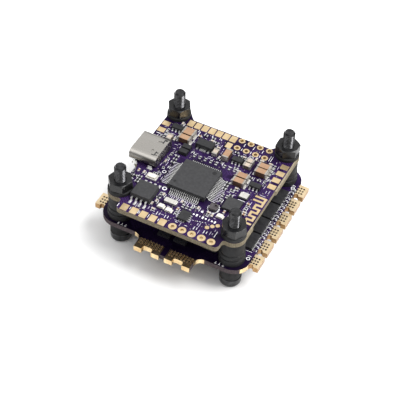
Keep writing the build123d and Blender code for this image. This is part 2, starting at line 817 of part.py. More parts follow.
with BuildPart() as input_clamp_diode:
    with Locations(placed(*clamp_at, esc_top)):
        add(tapered_body(clamp_size, taper=4))

with BuildPart() as supply_coil:
    with BuildSketch(Plane.XY.offset(esc_top)):
        with Locations(coil_at):
            RectangleRounded(coil_size[0], coil_size[1], 0.8)
    extrude(amount=coil_size[2])
    fillet(supply_coil.edges().group_by(Axis.Z)[-1], 0.3)

esc_cap_places = [
    placed(esc_cap_at[0] + esc_cap_pitch * (i - (esc_cap_count - 1) / 2), esc_cap_at[1], 0)
    for i in range(esc_cap_count)
]

esc_cap_bodies = cap_bodies(esc_cap_places, esc_cap, mid_cap_end, esc_top)
esc_cap_ends = cap_ends(esc_cap_places, esc_cap, mid_cap_end, esc_top)


# ================================================================= grommets and spacer rings
def ring_stack(levels):
    """Coaxial discs on every stud from (bottom, top, radius) levels, bored for the screw.

    The outer rims at the very top and bottom are rounded."""
    with BuildPart() as rings:
        for bottom, top, radius in levels:
            with BuildSketch(Plane.XY.offset(bottom)):
                with Locations(*studs):
                    Circle(radius)
            extrude(amount=top - bottom)
        ends = rings.edges().group_by(Axis.Z)
        fillet(ends[0] + ends[-1], soft_edge)
        with BuildSketch(Plane.XY.offset(levels[0][0])):
            with Locations(*studs):
                Circle(grommet_bore_radius)
        extrude(amount=levels[-1][1] - levels[0][0], mode=Mode.SUBTRACT)
    return rings.part


fc_grommets = ring_stack(
    [
        (ring_top, fc_bottom, fc_grommet_radius),
        (fc_bottom, fc_top, grommet_neck_radius),
        (fc_top, flange_top, fc_flange_radius),
    ]
)
spacer_rings = ring_stack([(ring_bottom, ring_top, ring_radius)])
esc_grommets = ring_stack(
    [
        (head_height + contact_gap, esc_bottom, foot_radius),
        (esc_bottom, esc_top, grommet_neck_radius),
        (esc_top, ring_bottom, esc_flange_radius),
    ]
)


# ================================================================= screws and nuts
def make_screw(spot):
    """One pan-head M3 screw, head down on the ground, its hex socket open downwards."""
    with BuildPart() as screw:
        with BuildSketch():
            with Locations(spot):
                Circle(head_radius)
        extrude(amount=head_height)
        fillet(screw.edges().sort_by(Axis.Z)[0], head_round)
        with BuildSketch(Plane.XY.offset(head_height)):
            with Locations(spot):
                Circle(shank_radius)
        extrude(amount=nut_top - head_height)
        with BuildSketch(Plane.XY.offset(nut_top)):
            with Locations(spot):
                Circle(thread_radius)
        extrude(amount=head_height + screw_length - nut_top)
        chamfer(screw.edges().sort_by(Axis.Z)[-1], screw_tip_chamfer)
        with BuildSketch():
            with Locations(spot):
                RegularPolygon(socket_across / 2, 6, major_radius=False)
        extrude(amount=socket_depth, mode=Mode.SUBTRACT)
    return screw.part


def make_nut(spot, turn):
    """One M3 hex nut resting on the upper grommet's flange, its corners bevelled top and bottom."""
    bottom = flange_top + contact_gap
    corner_radius = nut_across / 3**0.5
    with BuildPart() as nut:
        with BuildSketch(Plane.XY.offset(bottom)):
            with Locations(placed(*spot, 0, turn)):
                RegularPolygon(nut_across / 2, 6, major_radius=False)
        extrude(amount=nut_height)
        with BuildSketch(Plane(origin=(*spot, bottom), x_dir=(1, 0, 0), z_dir=(0, -1, 0))):
            with BuildLine():
                Polyline(
                    (0, 0),
                    (corner_radius - nut_bevel[0], 0),
                    (corner_radius, nut_bevel[1]),
                    (corner_radius, nut_height - nut_bevel[1]),
                    (corner_radius - nut_bevel[0], nut_height),
                    (0, nut_height),
                    close=True,
                )
            make_face()
        revolve(axis=Axis((*spot, bottom), (0, 0, 1)), mode=Mode.INTERSECT)
        with BuildSketch(Plane.XY.offset(bottom)):
            with Locations(spot):
                Circle(nut_bore_radius)
        extrude(amount=nut_height, mode=Mode.SUBTRACT)
    return nut.part


pieces = {
    "fc_board": fc_board.part,
    "fc_edge_pads": fc_edge_pads.part,
    "fc_plated_holes": fc_plated_holes.part,
    "fc_jumper_dots": fc_jumper_dots.part,
    "fc_antenna": fc_antenna.part,
    "usb_shell": usb_shell.part,
    "usb_tongue": usb_tongue.part,
    "usb_contacts": usb_contacts.part,
    "mcu_body": mcu_body.part,
    "mcu_leads": mcu_leads.part,
    "flash_body": flash_body.part,
    "flash_leads": flash_leads.part,
    "radio_chip": radio_chip.part,
    "gyro_chip": gyro_chip.part,
    "barometer": barometer.part,
    "crystal_base": crystal_base.part,
    "crystal_cover": crystal_cover.part,
    "clock_crystal": clock_crystal.part,
    "large_cap_bodies": large_cap_bodies.part,
    "large_cap_ends": large_cap_ends.part,
    "mid_cap_bodies": mid_cap_bodies,
    "mid_cap_ends": mid_cap_ends,
    "resistor_bodies": resistor_bodies,
    "resistor_ends": resistor_ends,
    "regulator_bodies": regulator_bodies.part,
    "regulator_leads": regulator_leads.part,
    "diode_bodies": diode_bodies.part,
    "status_leds": status_leds.part,
    "button_frame": button_frame.part,
    "button_cap": button_cap.part,
    "fc_socket_housing": fc_socket_housing,
    "fc_socket_pins": fc_socket_pins,
    "esc_board": esc_board.part,
    "motor_pads": motor_pads.part,
    "battery_pads": battery_pads.part,
    "underside_pads": underside_pads.part,
    "edge_bays": edge_bays.part,
    "fet_bodies": fet_bodies.part,
    "fet_leads": fet_leads.part,
    "driver_chips": driver_chips.part,
    "motor_controllers": motor_controllers.part,
    "current_shunts": current_shunts.part,
    "input_clamp_diode": input_clamp_diode.part,
    "supply_coil": supply_coil.part,
    "esc_cap_bodies": esc_cap_bodies,
    "esc_cap_ends": esc_cap_ends,
    "esc_socket_housing": esc_socket_housing,
    "esc_socket_pins": esc_socket_pins,
    "fc_grommets": fc_grommets,
    "spacer_rings": spacer_rings,
    "esc_grommets": esc_grommets,
}
for number, spot in enumerate(studs, start=1):
    pieces[f"screw_{number}"] = make_screw(spot)
    pieces[f"nut_{number}"] = make_nut(spot, nut_turns[number - 1])

for name, piece in pieces.items():
    piece.label = name
    export_step(piece, f"parts/{name}.step")
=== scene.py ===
"""Visual model of a flight controller stack: two purple circuit boards on soft grommets."""
import math
import random

import bmesh
import bpy
from mathutils import Matrix, Vector


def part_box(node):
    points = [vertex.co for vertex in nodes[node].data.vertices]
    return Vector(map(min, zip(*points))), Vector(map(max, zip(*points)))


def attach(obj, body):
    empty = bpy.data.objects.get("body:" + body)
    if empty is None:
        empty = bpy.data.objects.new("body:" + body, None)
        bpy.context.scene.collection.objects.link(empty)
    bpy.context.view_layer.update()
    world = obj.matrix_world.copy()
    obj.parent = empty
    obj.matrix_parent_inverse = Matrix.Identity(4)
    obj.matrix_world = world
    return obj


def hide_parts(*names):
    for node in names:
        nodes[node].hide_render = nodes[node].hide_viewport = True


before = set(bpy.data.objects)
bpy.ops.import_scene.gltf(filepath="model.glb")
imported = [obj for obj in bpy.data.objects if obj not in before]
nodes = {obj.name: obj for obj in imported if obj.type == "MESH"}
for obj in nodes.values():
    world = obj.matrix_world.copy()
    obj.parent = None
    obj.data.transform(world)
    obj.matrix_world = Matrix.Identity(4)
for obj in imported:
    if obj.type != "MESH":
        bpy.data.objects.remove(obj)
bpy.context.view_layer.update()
rng = random.Random(7)

MM = 0.001
# heights and places below are in millimetres
FC_TOP = 16.7
ESC_TOP = 8.3
ESC_BOTTOM = 6.9
PITCH = 15.25
STUDS = ((-PITCH, -PITCH), (PITCH, -PITCH), (PITCH, PITCH), (-PITCH, PITCH))
MCU_X, MCU_Y = -0.45, -4.65             # centre of the processor
LEAD_PITCH = 0.5
LEADS_PER_SIDE = 16
MEMORY_X, MEMORY_Y = -9.15, -14.15      # centre of the memory chip
MOTION_X, MOTION_Y = 2.65, -16.2        # centre of the motion sensor
PRESSURE_X, PRESSURE_Y = 7.5, -10.4     # centre of the pressure sensor
USB_Y = -1.1                            # middle of the USB socket
BATTERY_PADS_X = (-3.7, 4.6)
BATTERY_VIA_Y = -21.15
STUD_TIP = 24.4
HEAD_TOP = 2.4
HEAD_RADIUS = 2.75
HEAD_ROUND = 0.7
SOCKET_ACROSS = 2.0
SOCKET_DEPTH = 1.3
SHANK_RADIUS = 1.45
TIP_RADIUS = 1.12
THREAD_PITCH = 0.5
THREAD_RADIUS = 1.49
THREAD_DEPTH = 0.27
THREAD_FROM, THREAD_TO, THREAD_STEP = 2.45, 24.05, 0.0625
SCREW_SIDES = 36
INK = 0.02                              # thickness of a printed mark


# ---------------------------------------------------------------- materials
def graph(name, rough, metal=0.0):
    """A new node material with its node tree, shader and object coordinates."""
    mat = bpy.data.materials.new(name)
    mat.use_nodes = True
    tree = mat.node_tree
    shader = tree.nodes["Principled BSDF"]
    shader.inputs["Metallic"].default_value = metal
    shader.inputs["Roughness"].default_value = rough
    coords = tree.nodes.new("ShaderNodeTexCoord").outputs["Object"]
    return mat, tree, shader, coords


def noise(tree, coords, scale, detail=4.0, rough=0.55):
    node = tree.nodes.new("ShaderNodeTexNoise")
    node.inputs["Scale"].default_value = scale
    node.inputs["Detail"].default_value = detail
    node.inputs["Roughness"].default_value = rough
    tree.links.new(coords, node.inputs["Vector"])
    return node.outputs["Fac"]


def ramp(tree, value, low, high, start=0.3, end=0.7):
    """Two colours mixed by a value."""
    node = tree.nodes.new("ShaderNodeValToRGB")
    node.color_ramp.elements[0].color = (*low, 1)
    node.color_ramp.elements[1].color = (*high, 1)
    node.color_ramp.elements[0].position = start
    node.color_ramp.elements[1].position = end
    tree.links.new(value, node.inputs["Fac"])
    return node.outputs["Color"]


def remap(tree, value, low, high, out_low, out_high):
    node = tree.nodes.new("ShaderNodeMapRange")
    node.inputs["From Min"].default_value = low
    node.inputs["From Max"].default_value = high
    node.inputs["To Min"].default_value = out_low
    node.inputs["To Max"].default_value = out_high
    tree.links.new(value, node.inputs["Value"])
    return node.outputs["Result"]


def mix(tree, factor, first, second, kind="MIX"):
    """Two colours, each a tuple or a linked value, mixed by a number or a linked value."""
    node = tree.nodes.new("ShaderNodeMix")
    node.data_type = "RGBA"
    node.blend_type = kind
    if isinstance(factor, float):
        node.inputs[0].default_value = factor
    else:
        tree.links.new(factor, node.inputs[0])
    for socket, value in ((node.inputs[6], first), (node.inputs[7], second)):
        if isinstance(value, tuple):
            socket.default_value = (*value, 1)
        else:
            tree.links.new(value, socket)
    return node.outputs[2]


def mix_value(tree, factor, first, second):
    """A plain number where factor is 0, the linked value where it is 1."""
    node = tree.nodes.new("ShaderNodeMix")
    tree.links.new(factor, node.inputs[0])
    node.inputs[2].default_value = first
    tree.links.new(second, node.inputs[3])
    return node.outputs[0]


def maths(tree, kind, first, second=None):
    """One or two numbers or linked values through a maths node."""
    node = tree.nodes.new("ShaderNodeMath")
    node.operation = kind
    for socket, value in zip(node.inputs, (first, second)):
        if value is None:
            continue
        if isinstance(value, (int, float)):
            socket.default_value = value
        else:
            tree.links.new(value, socket)
    return node.outputs[0]


def levelness(tree):
    """1 on level faces, 0 on upright ones."""
    normal = tree.nodes.new("ShaderNodeSeparateXYZ")
    tree.links.new(tree.nodes.new("ShaderNodeNewGeometry").outputs["Normal"], normal.inputs["Vector"])
    return maths(tree, "ABSOLUTE", normal.outputs["Z"])


def level_share(tree):
    """A soft switch from upright faces, 0, to level ones, 1."""
    return remap(tree, levelness(tree), 0.3, 0.7, 0.0, 1.0)


def relief(tree, shader, height, strength, distance, bevel=0.0):
    """Bump on the shader, over edges rounded by bevel metres."""
    node = tree.nodes.new("ShaderNodeBump")
    node.inputs["Strength"].default_value = strength
    node.inputs["Distance"].default_value = distance
    tree.links.new(height, node.inputs["Height"])
    if bevel:
        edge = tree.nodes.new("ShaderNodeBevel")
        edge.samples = 4
        edge.inputs["Radius"].default_value = bevel
        tree.links.new(edge.outputs["Normal"], node.inputs["Normal"])
    tree.links.new(node.outputs["Normal"], shader.inputs["Normal"])


def grained(
    name, dark, light, rough, metal=0.0, scale=900.0, grain=0.15, bevel=0.0, spread=0.12, gloss=0.5
):
    """Mottled colour, uneven roughness and a fine grain: moulded plastic, plating or rubber."""
    mat, tree, shader, coords = graph(name, rough, metal)
    patches = noise(tree, coords, scale)
    tree.links.new(ramp(tree, patches, dark, light), shader.inputs["Base Color"])
    wear = noise(tree, coords, scale * 0.4, 3.0)
    rough_low = max(rough - spread, 0.05)
    tree.links.new(remap(tree, wear, 0.3, 0.7, rough_low, rough + spread), shader.inputs["Roughness"])
    shader.inputs["Specular IOR Level"].default_value = gloss
    relief(tree, shader, noise(tree, coords, scale * 5), grain, 0.00002, bevel)
    return mat


def board_material(name, edge, rim_from=None, shade_to=None):
    """Purple solder mask with copper tracks showing under it, and a glass-fibre edge.

    rim_from is the X, in metres, past which the level face shows bare glass fibre. shade_to is
    the Y in front of which the mask is painted darker, as painted shade under the board above.
    """
    mat, tree, shader, coords = graph(name, 0.36)
    shader.inputs["Specular IOR Level"].default_value = 0.1
    cells = tree.nodes.new("ShaderNodeTexVoronoi")
    cells.distance = "MANHATTAN"
    cells.inputs["Scale"].default_value = 260
    tree.links.new(coords, cells.inputs["Vector"])
    choice = tree.nodes.new("ShaderNodeSeparateColor")
    tree.links.new(cells.outputs["Color"], choice.inputs["Color"])
    tracks = []
    for direction in ("X", "Y", "DIAGONAL"):
        wave = tree.nodes.new("ShaderNodeTexWave")
        wave.bands_direction = direction
        wave.inputs["Scale"].default_value = 720
        tree.links.new(coords, wave.inputs["Vector"])
        tracks.append(maths(tree, "GREATER_THAN", wave.outputs["Fac"], 0.62))
    along = maths(tree, "GREATER_THAN", choice.outputs[0], 0.5)
    slanted = maths(tree, "GREATER_THAN", choice.outputs[1], 0.72)
    first = maths(tree, "MULTIPLY", tracks[0], along)
    second = maths(tree, "MULTIPLY", tracks[1], maths(tree, "SUBTRACT", 1.0, along))
    lines = maths(tree, "MAXIMUM", first, second)
    lines = maths(tree, "MAXIMUM", lines, maths(tree, "MULTIPLY", tracks[2], slanted))
    busy = maths(tree, "GREATER_THAN", choice.outputs[2], 0.35)
    lines = maths(tree, "MULTIPLY", lines, busy)
    pour = ramp(tree, noise(tree, coords, 220, 2.0), (0.007, 0.0026, 0.017), (0.018, 0.006, 0.046))
    mask = mix(tree, maths(tree, "MULTIPLY", lines, 0.6), pour, (0.058, 0.028, 0.118))
    weave = ramp(tree, noise(tree, coords, 3200, 2.0), *edge)
    level = maths(tree, "GREATER_THAN", levelness(tree), 0.5)
    place = tree.nodes.new("ShaderNodeSeparateXYZ")
    tree.links.new(coords, place.inputs["Vector"])
    if shade_to:
        # painted shade: the mask is darkened towards the front, in front of shade_to
        shade = remap(tree, place.outputs["Y"], shade_to - 0.003, shade_to + 0.003, 0.3, 1.0)
        mask = mix(tree, shade, (0.002, 0.001, 0.004), mask)
    if rim_from:
        level = maths(tree, "MULTIPLY", level, maths(tree, "LESS_THAN", place.outputs["X"], rim_from))
    tree.links.new(mix(tree, level, weave, mask), shader.inputs["Base Color"])
    uneven = remap(tree, noise(tree, coords, 600), 0.3, 0.7, 0.26, 0.44)
    tree.links.new(mix_value(tree, level, 0.8, uneven), shader.inputs["Roughness"])
    height = maths(tree, "ADD", maths(tree, "MULTIPLY", lines, 0.6), noise(tree, coords, 4000))
    relief(tree, shader, height, 0.25, 0.00003)
    return mat


def brushed(name, dark, light, rough, metal, stretch, wall_shade=1.0):
    """Metal with fine lines running one way, and upright faces painted wall_shade times as bright, as
    painted shade.
    """
    mat, tree, shader, coords = graph(name, rough, metal)
    mapping = tree.nodes.new("ShaderNodeMapping")
    mapping.inputs["Scale"].default_value = stretch
    tree.links.new(coords, mapping.inputs["Vector"])
    lines = noise(tree, mapping.outputs["Vector"], 1.0, 5.0)
    # painted shade: upright faces take the dark colour times wall_shade
    side = tuple(wall_shade * c for c in dark)
    tone = mix(tree, level_share(tree), side, ramp(tree, lines, dark, light))
    tree.links.new(tone, shader.inputs["Base Color"])
    tree.links.new(remap(tree, lines, 0.3, 0.7, rough - 0.08, rough + 0.1), shader.inputs["Roughness"])
    relief(tree, shader, lines, 0.12, 0.00001, 0.00006)
    return mat


def plated(name, level, wall_shade, rough):
    """Gold plating, with upright faces in the darker brown wall_shade colours as painted shade."""
    mat, tree, shader, coords = graph(name, rough, 0.8)
    tone = ramp(tree, noise(tree, coords, 600), level[0], level[1])
    # painted shade: routed edges and other upright faces take the darker wall_shade colours
    edge = ramp(tree, noise(tree, coords, 900), wall_shade[0], wall_shade[1])
    tree.links.new(mix(tree, level_share(tree), edge, tone), shader.inputs["Base Color"])
    relief(tree, shader, noise(tree, coords, 3500), 0.3, 0.00002, 0.00003)
    return mat


def ceramic(name, dark, light):
    """Fired ceramic capacitor body: faint speckle, a slightly waxy face and upright sides painted darker as
    painted shade.
    """
    mat, tree, shader, coords = graph(name, 0.45)
    speckle = noise(tree, coords, 6500, 2.0)
    tone = noise(tree, coords, 320, 1.0)
    base = mix(tree, tone, dark, light)
    spots = ramp(tree, speckle, (0.72, 0.72, 0.72), (1.08, 1.08, 1.08))
    fired = mix(tree, 1.0, base, spots, "MULTIPLY")
    # painted shade: upright sides take 0.3 times the dark colour
    painted_side_shade = tuple(0.3 * c for c in dark)
    face = mix(tree, level_share(tree), painted_side_shade, fired)
    tree.links.new(face, shader.inputs["Base Color"])
    relief(tree, shader, speckle, 0.2, 0.00001, 0.00005)
    return mat


looks = {
    "mask_upper": board_material(
        "mask_upper", ((0.20, 0.165, 0.115), (0.38, 0.33, 0.235)), rim_from=0.01795
    ),
    # lower board: its glass-fibre edge colours are darker than the upper board's as painted shade, and its
    # mask gets painted shade towards the front
    "mask_lower": board_material(
        "mask_lower", ((0.085, 0.065, 0.075), (0.17, 0.14, 0.145)), shade_to=-0.0145
    ),
    "gold": grained("gold", (0.66, 0.49, 0.26), (0.80, 0.63, 0.39), 0.34, 0.8, 700, 0.3, 0.00003),
    "rich_gold": grained(
        "rich_gold", (0.62, 0.42, 0.20), (0.85, 0.66, 0.38), 0.22, 0.95, 500, 0.08, 0.00003, 0.06
    ),
    # tab_gold: the brown second colour pair is painted shade on the pads' upright faces
    "tab_gold": plated(
        "tab_gold", ((0.74, 0.57, 0.34), (0.88, 0.72, 0.48)), ((0.34, 0.19, 0.08), (0.52, 0.33, 0.15)), 0.34
    ),
    # real via rims, made paler and less metallic than the pads as a painted glint
    "rim_gold_glint": grained("rim_gold_glint", (0.62, 0.38, 0.16), (0.92, 0.66, 0.34), 0.3, 0.5, 700, 0.1),
    "dull_tin": grained(
        "dull_tin", (0.34, 0.31, 0.27), (0.52, 0.49, 0.44), 0.35, 0.7, 1500, 0.2, 0.00003
    ),
    # a near-black sheet, painted shade between the processor's leads
    "painted_shade_sheet": grained(
        "painted_shade_sheet", (0.003, 0.001, 0.007), (0.007, 0.003, 0.016), 0.4, 0.0, 1500, gloss=0.2
    ),
    "mould": grained(
        "mould", (0.022, 0.022, 0.024), (0.036, 0.036, 0.038), 0.6, 0.0, 1500, 0.35, 0.00006, 0.05, 0.42
    ),
    "tin": grained("tin", (0.62, 0.62, 0.61), (0.86, 0.86, 0.84), 0.28, 0.85, 1500, 0.2, 0.00003),
    "dark_mould": grained(
        "dark_mould", (0.010, 0.010, 0.011), (0.022, 0.022, 0.024), 0.5, 0.0, 1500, 0.3, 0.00006, gloss=0.4
    ),
    # the USB shell's upright faces are painted 0.45 times as bright: painted shade
    "shell": brushed(
        "shell", (0.45, 0.43, 0.40), (0.47, 0.45, 0.42), 0.26, 0.95, (150, 500, 500), 0.45
    ),
    "black_plastic": grained(
        "black_plastic", (0.018, 0.018, 0.02), (0.035, 0.035, 0.037), 0.5, 0.0, 1200
    ),
    "cream_plastic": grained(
        "cream_plastic", (0.68, 0.62, 0.48), (0.80, 0.75, 0.62), 0.5, 0.0, 900
    ),
    "cap": ceramic("cap", (0.29, 0.155, 0.09), (0.44, 0.28, 0.165)),
    "pale_cap": ceramic("pale_cap", (0.40, 0.32, 0.25), (0.56, 0.48, 0.40)),
    "film": grained("film", (0.020, 0.020, 0.023), (0.045, 0.045, 0.05), 0.3, 0.0, 2500),
    "crystal": brushed(
        "crystal", (0.66, 0.64, 0.60), (0.80, 0.78, 0.73), 0.3, 0.8, (5000, 400, 400)
    ),
    "lamp": grained("lamp", (0.55, 0.53, 0.47), (0.72, 0.70, 0.64), 0.28, 0.0, 1800),
    "ivory": grained(
        "ivory", (0.62, 0.58, 0.50), (0.76, 0.73, 0.66), 0.45, 0.0, 1400, 0.2, 0.00004
    ),
    "ferrite": grained("ferrite", (0.05, 0.048, 0.046), (0.10, 0.098, 0.095), 0.75, 0.0, 2600, 0.5),
    "rubber": grained(
        "rubber", (0.008, 0.008, 0.009), (0.018, 0.018, 0.019), 0.68, 0.0, 800, 0.45, 0.00008, gloss=0.35
    ),
    "black_steel": grained(
        "black_steel", (0.006, 0.006, 0.007), (0.014, 0.014, 0.015), 0.3, 0.0, 900, 0.25, 0.0001, gloss=0.38
    ),
    "screw_black": grained(
        "screw_black", (0.032, 0.032, 0.034), (0.085, 0.085, 0.088), 0.18, 0.95, 900, 0.2
    ),
    "pressure_can": grained(
        "pressure_can", (0.05, 0.04, 0.045), (0.12, 0.11, 0.115), 0.35, 0.6, 1500, 0.2, 0.00006
    ),
    "pale_track": grained("pale_track", (0.50, 0.45, 0.56), (0.72, 0.69, 0.78), 0.5, 0.0, 3000),
    "ink": grained("ink", (0.70, 0.70, 0.71), (0.90, 0.90, 0.90), 0.6, 0.0, 4000),
}
nodes_of_look = {
    "mask_upper": ("fc_board",),
    "mask_lower": ("esc_board",),
    "gold": (
        "fc_edge_pads", "fc_plated_holes", "fc_jumper_dots", "fc_antenna", "usb_contacts",
        "underside_pads",
    ),
    "shell": ("usb_shell",),
    "black_plastic": ("usb_tongue", "crystal_base"),
    "mould": ("mcu_body", "flash_body", "radio_chip"),
    "tin": (
        "mcu_leads", "flash_leads", "resistor_ends", "regulator_leads", "fc_socket_pins",
        "fet_leads", "esc_cap_ends", "esc_socket_pins",
    ),
    "dark_mould": (
        "gyro_chip", "regulator_bodies", "diode_bodies", "fet_bodies", "driver_chips",
        "motor_controllers", "input_clamp_diode",
    ),
    "pressure_can": ("barometer",),
    "crystal": ("crystal_cover", "clock_crystal", "button_frame"),
    "cap": ("large_cap_bodies",),
    "dull_tin": ("large_cap_ends", "mid_cap_ends"),
    "pale_cap": ("mid_cap_bodies", "esc_cap_bodies"),
    "film": ("resistor_bodies", "current_shunts"),
    "lamp": ("status_leds",),
    "ivory": ("button_cap",),
    "cream_plastic": ("fc_socket_housing", "esc_socket_housing"),
    "tab_gold": ("motor_pads",),
    "rich_gold": ("battery_pads", "edge_bays"),
    "ferrite": ("supply_coil",),
    "rubber": ("fc_grommets", "spacer_rings", "esc_grommets"),
}
look_of = {name: look for look, names in nodes_of_look.items() for name in names}
for name, node in nodes.items():
    node.data.materials.clear()
    node.data.materials.append(looks[look_of.get(name, "black_steel")])


# moulded chips get rounded edges, by their widths in millimetres
for name, width in (("mcu_body", 0.28), ("flash_body", 0.12), ("radio_chip", 0.1)):
    weld = nodes[name].modifiers.new("weld", "WELD")
    weld.merge_threshold = 0.000002
    edge = nodes[name].modifiers.new("edge", "BEVEL")
    edge.width = width * MM
    edge.segments = 3
    edge.limit_method = "ANGLE"
    edge.angle_limit = math.radians(50)


# ---------------------------------------------------------------- mesh helpers
def finish_piece(mesh, name, look, body="stack", bevel=0.0):
    """Turns a bmesh in millimetres into a named piece that rides on a body."""
    data = bpy.data.meshes.new(name)
    bmesh.ops.recalc_face_normals(mesh, faces=mesh.faces)
    bmesh.ops.scale(mesh, vec=(MM, MM, MM), verts=mesh.verts)
    mesh.to_mesh(data)
    mesh.free()
    piece = bpy.data.objects.new(name, data)
    bpy.context.scene.collection.objects.link(piece)
    data.materials.append(looks[look])
    if bevel:
        edge = piece.modifiers.new("edge", "BEVEL")
        edge.width = bevel * MM
        edge.segments = 2
        edge.limit_method = "ANGLE"
    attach(piece, body)
    return piece


def block(mesh, centre, size, turn=0.0):
    """A box in a bmesh, turned about Z by turn degrees."""
    matrix = Matrix.Translation(centre) @ Matrix.Rotation(math.radians(turn), 4, "Z")
    matrix = matrix @ Matrix.Diagonal((*size, 1))
    bmesh.ops.create_cube(mesh, size=1.0, matrix=matrix)


def ring(mesh, centre, outer, inner, thickness, sides=20):
    """A flat ring lying on its centre's height."""
    x, y, z = centre
    loops = []
    for radius, height in ((inner, z), (outer, z), (outer, z + thickness), (inner, z + thickness)):
        loop = []
        for i in range(sides):
            angle = 2 * math.pi * i / sides
            place = (x + radius * math.cos(angle), y + radius * math.sin(angle), height)
            loop.append(mesh.verts.new(place))
        loops.append(loop)
    for low, high in zip(loops, loops[1:] + loops[:1]):
        for i in range(sides):
            j = (i + 1) % sides
            mesh.faces.new((low[i], low[j], high[j], high[i]))


# ---------------------------------------------------------------- threaded screws
def hexagon(angle, across):
    """Distance from a hexagon's centre to its side at an angle."""
    sector = math.pi / 3
    return across / 2 / math.cos((angle + sector / 2) % sector - sector / 2)


def thread(angle, z):
    """Radius of an M3 coarse thread at an angle and height."""
    phase = (z / THREAD_PITCH - angle / (2 * math.pi)) % 1.0
    depth = THREAD_DEPTH * (1 - abs(2 * phase - 1) * 1.25)
    return THREAD_RADIUS - max(depth, 0.0)


def screw_levels():
    """Heights of the screw's outline, each with its radius as a function of the angle."""
    def plain(radius):
        return lambda angle: radius

    def socket(angle):
        return hexagon(angle, SOCKET_ACROSS)

    levels = [(SOCKET_DEPTH, socket), (0.0, socket), (0.0, plain(HEAD_RADIUS - HEAD_ROUND))]
    for step in range(1, 7):
        bend = step * math.pi / 12
        rise = HEAD_ROUND - HEAD_ROUND * math.cos(bend)
        levels.append((rise, plain(HEAD_RADIUS - HEAD_ROUND + HEAD_ROUND * math.sin(bend))))
    levels.append((HEAD_TOP - 0.1, plain(HEAD_RADIUS)))
    levels.append((HEAD_TOP, plain(HEAD_RADIUS - 0.1)))
    levels.append((HEAD_TOP, plain(SHANK_RADIUS)))
    for step in range(int((THREAD_TO - THREAD_FROM) / THREAD_STEP) + 1):
        z = THREAD_FROM + THREAD_STEP * step
        levels.append((z, lambda angle, height=z: thread(angle, height)))
    levels.append((STUD_TIP, plain(TIP_RADIUS)))
    return levels


def screw_mesh(x, y):
    """A threaded screw with a hexagon socket in its head, standing on its head at x, y."""
    mesh = bmesh.new()
    rows = []
    for z, radius in screw_levels():
        row = []
        for i in range(SCREW_SIDES):
            angle = 2 * math.pi * i / SCREW_SIDES
            r = radius(angle)
            row.append(mesh.verts.new((x + r * math.cos(angle), y + r * math.sin(angle), z)))
        rows.append(row)
    for low, high in zip(rows, rows[1:]):
        for i in range(SCREW_SIDES):
            j = (i + 1) % SCREW_SIDES
            mesh.faces.new((low[i], low[j], high[j], high[i]))
    mesh.faces.new(rows[0][::-1])
    mesh.faces.new(rows[-1])
    return mesh


for number, (x, y) in enumerate(STUDS, start=1):
    screw = finish_piece(
        screw_mesh(x, y), f"threaded_screw_{number}", "screw_black",
        body=f"screw_{number}_body",
    )
    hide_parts(f"screw_{number}")

# ---------------------------------------------------------------- occupied ground on the upper board
CELL = 0.2
taken = set()


def mark(x0, y0, x1, y1, margin=0.0):
    """Takes the ground between two corners, so that nothing is scattered there."""
    for i in range(math.floor((x0 - margin) / CELL), math.floor((x1 + margin) / CELL) + 1):
        for j in range(math.floor((y0 - margin) / CELL), math.floor((y1 + margin) / CELL) + 1):
            taken.add((i, j))


def is_free(x0, y0, x1, y1):
    for i in range(math.floor(x0 / CELL), math.floor(x1 / CELL) + 1):
        for j in range(math.floor(y0 / CELL), math.floor(y1 / CELL) + 1):
            if (i, j) in taken:
                return False
    return True


for name, node in nodes.items():
    if name == "fc_board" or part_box(name)[1][2] < FC_TOP * MM:
        continue
    for face in node.data.polygons:
        corners = [node.data.vertices[i].co / MM for i in face.vertices]
        if max(c.z for c in corners) > FC_TOP + 0.01:
            xs = [c.x for c in corners]
            ys = [c.y for c in corners]
            mark(min(xs), min(ys), max(xs), max(ys), 0.06)

# ---------------------------------------------------------------- printed marks, upper board
# each strip is x, y, width, depth
strips = [
    (-6.45, -13.9, 0.14, 4.2), (-7.4, 9.15, 0.14, 5.7), (11.0, 1.0, 0.14, 4.0),
    (-8.6, 1.5, 1.4, 0.13), (-8.6, -0.5, 1.4, 0.13), (-9.3, 0.5, 0.13, 2.0),
    (14.5, 5.2, 1.0, 0.14), (14.5, 7.1, 1.0, 0.14), (14.5, 8.9, 1.0, 0.14),
    (-16.6, 12.1, 1.5, 0.16), (-16.6, 6.5, 1.2, 0.16), (-13.0, 12.5, 2.2, 0.15),
]
for x in (1.35, 3.95):
    strips += [(x, -15.1, 0.13, 0.7), (x, -17.3, 0.13, 0.7)]
for x, y in ((-12.9, -20.2), (-10.1, -19.8), (-4.8, -20.0), (-7.55, -20.0), (-2.45, -20.0)):
    strips += [(x - 0.16, y, 0.13, 1.1), (x + 0.16, y, 0.13, 0.8)]
for x in (-3.3, -1.1, 1.7, 4.2, 6.6, 9.2):
    strips += [(x - 0.35, -18.2, 0.13, 1.0), (x + 0.05, -18.5, 0.6, 0.13), (x + 0.35, -18.1, 0.13, 0.8)]
for x in (-9.6, -7.6, -5.6, -3.7, -1.6, 0.4):
    strips += [(x - 0.25, 12.0, 0.13, 0.7), (x + 0.1, 12.2, 0.5, 0.13), (x + 0.25, 11.85, 0.13, 0.5)]
for x in (4.6, 7.1, 9.6):
    strips += [(x, 13.0, 0.13, 1.1), (x, 11.2, 0.13, 0.9)]
for x in (11.7, 12.2, 12.7):
    strips.append((x, -17.6, 0.16, 2.0))
    strips.append((x, 11.7, 0.13, 1.9))
for x in (6.3, 8.7):
    strips.append((x, -10.2, 0.13, 1.9))
for x, y in ((7.5, -8.95), (7.5, -11.85), (12.2, -4.75), (12.2, -1.95)):
    strips.append((x, y, 1.9, 0.13))
for x, y in ((5.6, 8.1), (-12.9, 11.4), (13.2, 2.05), (-3.75, 9.1)):
    strips.append((x, y, 2.4, 0.14))
